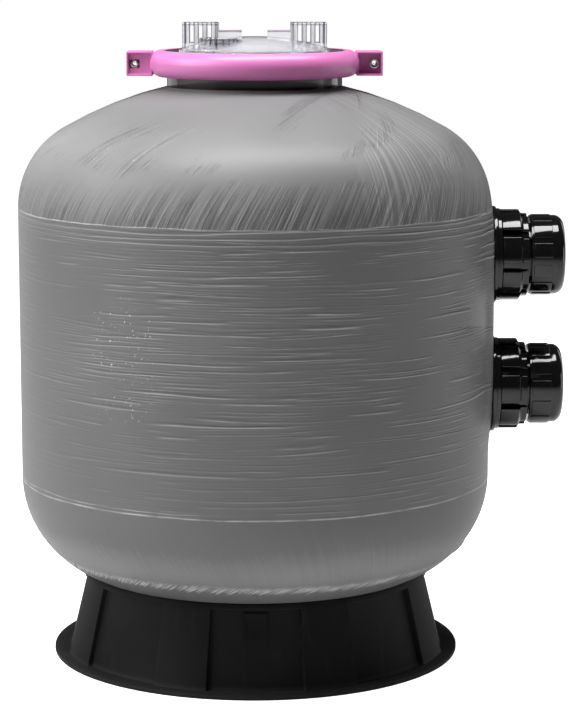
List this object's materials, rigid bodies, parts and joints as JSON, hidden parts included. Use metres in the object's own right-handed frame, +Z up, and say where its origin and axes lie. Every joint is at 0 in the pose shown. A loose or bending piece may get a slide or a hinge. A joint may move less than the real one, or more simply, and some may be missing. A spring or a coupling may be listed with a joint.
{
  "type": "pool sand filter",
  "caption": "Wound resin filter tank on a moulded skirt stand, with a clear clamped lid, two union ports on its side, a low drain and its inner pipework.",
  "frame": {"origin": "centre of the stand's footprint, on the floor", "axes": "+Z up the tank's axis, +X out along the two ports, -Y the front"},
  "size_m": [0.6925, 0.6, 0.806],
  "materials": {
    "stand_plastic": "moulded, satin",
    "wound_resin": "fibre wound, satin gloss",
    "clear_plastic": "clear moulded plastic",
    "clamp_plastic": "glossy",
    "stainless": "polished",
    "rubber": "matte",
    "inner_plastic": "plain",
    "fitting_plastic": "glossy"
  },
  "bodies": {
    "tank": {"base_stand": "stand_plastic", "tank_shell": "wound_resin", "neck_ring": "fitting_plastic", "lid_seal": "rubber", "upper_fitting": "fitting_plastic", "upper_inner_gasket": "rubber", "upper_union_seal": "rubber", "upper_outer_ring": "fitting_plastic", "upper_lock_nut": "fitting_plastic", "lower_fitting": "fitting_plastic", "lower_inner_gasket": "rubber", "lower_union_seal": "rubber", "lower_outer_ring": "fitting_plastic", "lower_lock_nut": "fitting_plastic", "inlet_pipe": "inner_plastic", "inlet_elbow": "inner_plastic", "inlet_riser": "inner_plastic", "diffuser": "inner_plastic", "outlet_pipe": "inner_plastic", "outlet_elbow": "inner_plastic", "drop_pipe": "inner_plastic", "collector_hub": "inner_plastic", "lateral_1": "inner_plastic", "lateral_2": "inner_plastic", "lateral_3": "inner_plastic", "lateral_4": "inner_plastic", "lateral_5": "inner_plastic", "lateral_6": "inner_plastic", "lateral_7": "inner_plastic", "lateral_8": "inner_plastic", "drain_gasket": "rubber", "drain_body": "fitting_plastic", "drain_lock_nut": "fitting_plastic", "drain_strainer": "inner_plastic"},
    "lid": {"lid": "clear_plastic"},
    "relief_seal": {"air_relief_seal": "rubber"},
    "relief_knob": {"air_relief_knob": "clear_plastic"},
    "clamp_front": {"clamp_half_front": "clamp_plastic", "clamp_nut_left": "stainless"},
    "clamp_rear": {"clamp_half_rear": "clamp_plastic", "clamp_nut_right": "stainless"},
    "washer_right": {"clamp_washer_right": "stainless"},
    "screw_right": {"clamp_screw_right": "stainless"},
    "washer_left": {"clamp_washer_left": "stainless"},
    "screw_left": {"clamp_screw_left": "stainless"},
    "drain_seal": {"drain_seal": "rubber"},
    "drain_cap": {"drain_cap": "fitting_plastic"},
    "upper_tailpiece": {"upper_tailpiece": "fitting_plastic"},
    "upper_union_nut": {"upper_union_nut": "fitting_plastic"},
    "lower_tailpiece": {"lower_tailpiece": "fitting_plastic"},
    "lower_union_nut": {"lower_union_nut": "fitting_plastic"}
  },
  "joints": [
    {"name": "lid_turn", "type": "hinge", "parent": "tank", "child": "lid", "pos_m": [0, 0, 0.755], "axis": [0, 0, 1], "continuous": true},
    {"name": "relief_lift", "type": "slide", "parent": "lid", "child": "relief_seal", "axis": [0, 0, 1], "range_m": [0, 0.004]},
    {"name": "relief_turn", "type": "hinge", "parent": "relief_seal", "child": "relief_knob", "pos_m": [-0.045, -0.041, 0.78], "axis": [0, 0, 1], "range_deg": [0, 720]},
    {"name": "clamp_front_pull", "type": "slide", "parent": "tank", "child": "clamp_front", "axis": [0, -1, 0], "range_m": [0, 0.05]},
    {"name": "clamp_rear_pull", "type": "slide", "parent": "tank", "child": "clamp_rear", "axis": [0, 1, 0], "range_m": [0, 0.05]},
    {"name": "screw_right_feed", "type": "slide", "parent": "clamp_front", "child": "washer_right", "axis": [0, -1, 0], "range_m": [0, 0.008]},
    {"name": "screw_right_turn", "type": "hinge", "parent": "washer_right", "child": "screw_right", "pos_m": [0.1507, 0, 0.755], "axis": [0, -1, 0], "range_deg": [0, 2880]},
    {"name": "screw_left_feed", "type": "slide", "parent": "clamp_rear", "child": "washer_left", "axis": [0, 1, 0], "range_m": [0, 0.008]},
    {"name": "screw_left_turn", "type": "hinge", "parent": "washer_left", "child": "screw_left", "pos_m": [-0.1507, 0, 0.755], "axis": [0, 1, 0], "range_deg": [0, 2880]},
    {"name": "upper_union_part", "type": "slide", "parent": "tank", "child": "upper_tailpiece", "axis": [1, 0, 0], "range_m": [0, 0.016]},
    {"name": "upper_union_turn", "type": "hinge", "parent": "upper_tailpiece", "child": "upper_union_nut", "pos_m": [0.36, 0, 0.5115], "axis": [1, 0, 0], "range_deg": [0, 1440]},
    {"name": "lower_union_part", "type": "slide", "parent": "tank", "child": "lower_tailpiece", "axis": [1, 0, 0], "range_m": [0, 0.016]},
    {"name": "lower_union_turn", "type": "hinge", "parent": "lower_tailpiece", "child": "lower_union_nut", "pos_m": [0.36, 0, 0.345], "axis": [1, 0, 0], "range_deg": [0, 1440]},
    {"name": "drain_seal_lift", "type": "slide", "parent": "tank", "child": "drain_seal", "axis": [0.6364, 0.2068, -0.7431], "range_m": [0, 0.012]},
    {"name": "drain_cap_turn", "type": "hinge", "parent": "drain_seal", "child": "drain_cap", "pos_m": [0.16073, 0.05222, 0.231], "axis": [0.6364, 0.2068, -0.7431], "range_deg": [0, 1440]}
  ],
  "couplings": [
    {"joint": "relief_lift", "follows": "relief_turn", "m_per_rad": 0.00031831},
    {"joint": "screw_right_turn", "follows": "screw_right_feed", "rad_per_m": 6283.2},
    {"joint": "screw_left_turn", "follows": "screw_left_feed", "rad_per_m": 6283.2},
    {"joint": "upper_union_part", "follows": "upper_union_turn", "m_per_rad": 0.00063662},
    {"joint": "lower_union_part", "follows": "lower_union_turn", "m_per_rad": 0.00063662},
    {"joint": "drain_seal_lift", "follows": "drain_cap_turn", "m_per_rad": 0.00047746}
  ]
}
